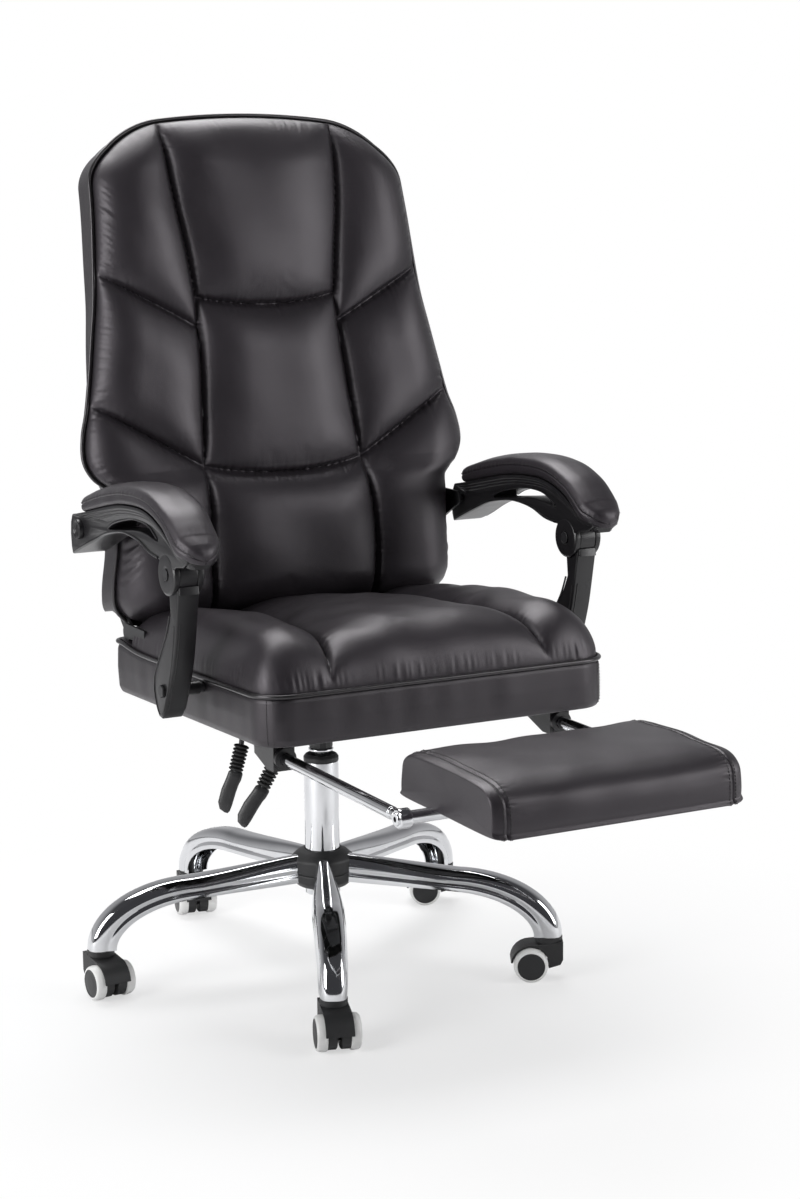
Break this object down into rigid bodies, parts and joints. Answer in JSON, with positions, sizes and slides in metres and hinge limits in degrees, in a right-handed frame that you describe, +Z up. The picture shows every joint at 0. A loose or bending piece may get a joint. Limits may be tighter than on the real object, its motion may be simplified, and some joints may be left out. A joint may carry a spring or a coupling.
{
  "type": "reclining office chair",
  "caption": "High-backed reclining office chair on a wheeled star base, with padded linked arms and a footrest that slides out from under the seat and flips up.",
  "frame": {"origin": "floor level under the middle of the footprint, which the pulled-out footrest lengthens forwards", "axes": "+Z up, -Y the way the sitter faces, +X to the sitter's left"},
  "size_m": [0.6906, 1.1344, 1.213],
  "materials": {
    "chrome": "polished chrome",
    "black_steel": "black painted steel",
    "hub_plastic": "black moulded nylon",
    "arm_plastic": "semi-matte dark grey plastic",
    "leather": "soft black coated leather",
    "piping": "black piping",
    "tread": "pale grey tread with a dark cap",
    "board": "bare plywood",
    "boot": "black rubber"
  },
  "bodies": {
    "base": {"leg_1": "chrome", "leg_2": "chrome", "leg_3": "chrome", "leg_4": "chrome", "leg_5": "chrome", "hub_sleeve": "chrome", "hub_cover_top": "hub_plastic", "hub_cover_bottom": "hub_plastic", "column_tube": "chrome", "column_bush": "hub_plastic"},
    "caster_1": {"caster_1_housing": "hub_plastic"},
    "caster_1_right": {"caster_1_wheel_right": "tread"},
    "caster_1_left": {"caster_1_wheel_left": "tread"},
    "caster_2": {"caster_2_housing": "hub_plastic"},
    "caster_2_right": {"caster_2_wheel_right": "tread"},
    "caster_2_left": {"caster_2_wheel_left": "tread"},
    "caster_3": {"caster_3_housing": "hub_plastic"},
    "caster_3_right": {"caster_3_wheel_right": "tread"},
    "caster_3_left": {"caster_3_wheel_left": "tread"},
    "caster_4": {"caster_4_housing": "hub_plastic"},
    "caster_4_right": {"caster_4_wheel_right": "tread"},
    "caster_4_left": {"caster_4_wheel_left": "tread"},
    "caster_5": {"caster_5_housing": "hub_plastic"},
    "caster_5_right": {"caster_5_wheel_right": "tread"},
    "caster_5_left": {"caster_5_wheel_left": "tread"},
    "lift": {"gas_cylinder": "chrome"},
    "seat": {"mechanism": "black_steel", "seat_box": "leather", "seat_cushion": "leather", "seat_piping": "piping", "guide_block_left": "arm_plastic", "guide_block_right": "arm_plastic", "seat_hinge_left": "black_steel", "seat_hinge_right": "black_steel", "post_bolt_left": "black_steel", "post_bolt_right": "black_steel"},
    "back": {"back_shell": "leather", "back_cushion": "leather", "back_piping": "piping", "back_hinge_left": "black_steel", "back_hinge_right": "black_steel", "arm_bracket_left": "black_steel", "arm_bracket_right": "black_steel"},
    "post_left": {"arm_post_left": "arm_plastic"},
    "arm_left": {"arm_frame_left": "arm_plastic", "arm_pad_left": "leather", "arm_hinge_pin_left": "black_steel"},
    "post_right": {"arm_post_right": "arm_plastic"},
    "arm_right": {"arm_frame_right": "arm_plastic", "arm_pad_right": "leather", "arm_hinge_pin_right": "black_steel"},
    "footrest_slide": {"footrest_rod_left": "chrome", "footrest_rod_right": "chrome"},
    "footrest": {"footrest_tube": "chrome", "footrest_board": "board", "footrest_pad": "leather"},
    "height_lever": {"height_lever": "arm_plastic", "height_lever_boot": "boot"},
    "recline_lever": {"recline_lever": "arm_plastic", "recline_lever_boot": "boot"}
  },
  "joints": [
    {"name": "caster_1_swivel", "type": "hinge", "parent": "base", "child": "caster_1", "pos_m": [-0.12145, -0.082, 0.062], "axis": [0, 0, 1], "continuous": true},
    {"name": "caster_1_right_spin", "type": "hinge", "parent": "caster_1", "child": "caster_1_right", "pos_m": [-0.12906, -0.10738, 0.02403], "axis": [-0.9578, 0.2874, 0], "continuous": true},
    {"name": "caster_1_left_spin", "type": "hinge", "parent": "caster_1", "child": "caster_1_left", "pos_m": [-0.12906, -0.10738, 0.02403], "axis": [-0.9578, 0.2874, 0], "continuous": true},
    {"name": "caster_2_swivel", "type": "hinge", "parent": "base", "child": "caster_2", "pos_m": [0.25988, 0.00114, 0.062], "axis": [0, 0, 1], "continuous": true},
    {"name": "caster_2_right_spin", "type": "hinge", "parent": "caster_2", "child": "caster_2_right", "pos_m": [0.23642, 0.01346, 0.02403], "axis": [0.4648, 0.8854, 0], "continuous": true},
    {"name": "caster_2_left_spin", "type": "hinge", "parent": "caster_2", "child": "caster_2_left", "pos_m": [0.23642, 0.01346, 0.02403], "axis": [0.4648, 0.8854, 0], "continuous": true},
    {"name": "caster_3_swivel", "type": "hinge", "parent": "base", "child": "caster_3", "pos_m": [0.29865, 0.3895, 0.062], "axis": [0, 0, 1], "continuous": true},
    {"name": "caster_3_right_spin", "type": "hinge", "parent": "caster_3", "child": "caster_3_right", "pos_m": [0.27463, 0.4007, 0.02403], "axis": [0.4226, 0.9063, 0], "continuous": true},
    {"name": "caster_3_left_spin", "type": "hinge", "parent": "caster_3", "child": "caster_3_left", "pos_m": [0.27463, 0.4007, 0.02403], "axis": [0.4226, 0.9063, 0], "continuous": true},
    {"name": "caster_4_swivel", "type": "hinge", "parent": "base", "child": "caster_4", "pos_m": [-0.05873, 0.54638, 0.062], "axis": [0, 0, 1], "continuous": true},
    {"name": "caster_4_right_spin", "type": "hinge", "parent": "caster_4", "child": "caster_4_right", "pos_m": [-0.06333, 0.52028, 0.02403], "axis": [-0.9848, 0.1736, 0], "continuous": true},
    {"name": "caster_4_left_spin", "type": "hinge", "parent": "caster_4", "child": "caster_4_left", "pos_m": [-0.06333, 0.52028, 0.02403], "axis": [-0.9848, 0.1736, 0], "continuous": true},
    {"name": "caster_5_swivel", "type": "hinge", "parent": "base", "child": "caster_5", "pos_m": [-0.31836, 0.25497, 0.062], "axis": [0, 0, 1], "continuous": true},
    {"name": "caster_5_right_spin", "type": "hinge", "parent": "caster_5", "child": "caster_5_right", "pos_m": [-0.31605, 0.22857, 0.02403], "axis": [-0.9962, -0.0872, 0], "continuous": true},
    {"name": "caster_5_left_spin", "type": "hinge", "parent": "caster_5", "child": "caster_5_left", "pos_m": [-0.31605, 0.22857, 0.02403], "axis": [-0.9962, -0.0872, 0], "continuous": true},
    {"name": "gas_lift", "type": "slide", "parent": "base", "child": "lift", "axis": [0, 0, 1], "range_m": [0, 0.1]},
    {"name": "seat_swivel", "type": "hinge", "parent": "lift", "child": "seat", "pos_m": [0.012, 0.222, 0.365], "axis": [0, 0, 1], "continuous": true},
    {"name": "back_recline", "type": "hinge", "parent": "seat", "child": "back", "pos_m": [0.012, 0.334, 0.49149], "axis": [-1, 0, 0], "range_deg": [0, 35]},
    {"name": "post_left_turn", "type": "hinge", "parent": "seat", "child": "post_left", "pos_m": [0.309, 0.042, 0.47049], "axis": [-1, 0, 0], "range_deg": [0, 35]},
    {"name": "arm_left_turn", "type": "hinge", "parent": "post_left", "child": "arm_left", "pos_m": [0.309, 0.008, 0.629], "axis": [-1, 0, 0], "range_deg": [-35, 0]},
    {"name": "post_right_turn", "type": "hinge", "parent": "seat", "child": "post_right", "pos_m": [-0.285, 0.042, 0.47049], "axis": [-1, 0, 0], "range_deg": [0, 35]},
    {"name": "arm_right_turn", "type": "hinge", "parent": "post_right", "child": "arm_right", "pos_m": [-0.285, 0.008, 0.629], "axis": [-1, 0, 0], "range_deg": [-35, 0]},
    {"name": "footrest_slide_in", "type": "slide", "parent": "seat", "child": "footrest_slide", "axis": [0, 1, 0], "range_m": [0, 0.3]},
    {"name": "footrest_flip", "type": "hinge", "parent": "footrest_slide", "child": "footrest", "pos_m": [0.012, -0.418, 0.3975], "axis": [1, 0, 0], "range_deg": [0, 180]},
    {"name": "height_lever_turn", "type": "hinge", "parent": "seat", "child": "height_lever", "pos_m": [-0.138, 0.077, 0.4035], "axis": [1, 0, 0], "range_deg": [-12, 12], "stiffness_Nm_per_rad": 0.6},
    {"name": "recline_lever_turn", "type": "hinge", "parent": "seat", "child": "recline_lever", "pos_m": [-0.138, -0.03, 0.4035], "axis": [1, 0, 0], "range_deg": [-12, 12], "stiffness_Nm_per_rad": 0.6}
  ],
  "couplings": [
    {"joint": "post_left_turn", "follows": "back_recline", "ratio": 1},
    {"joint": "arm_left_turn", "follows": "back_recline", "ratio": -1},
    {"joint": "post_right_turn", "follows": "back_recline", "ratio": 1},
    {"joint": "arm_right_turn", "follows": "back_recline", "ratio": -1},
    {"joint": "footrest_flip", "follows": "footrest_slide_in", "rad_per_m": 10.472}
  ]
}
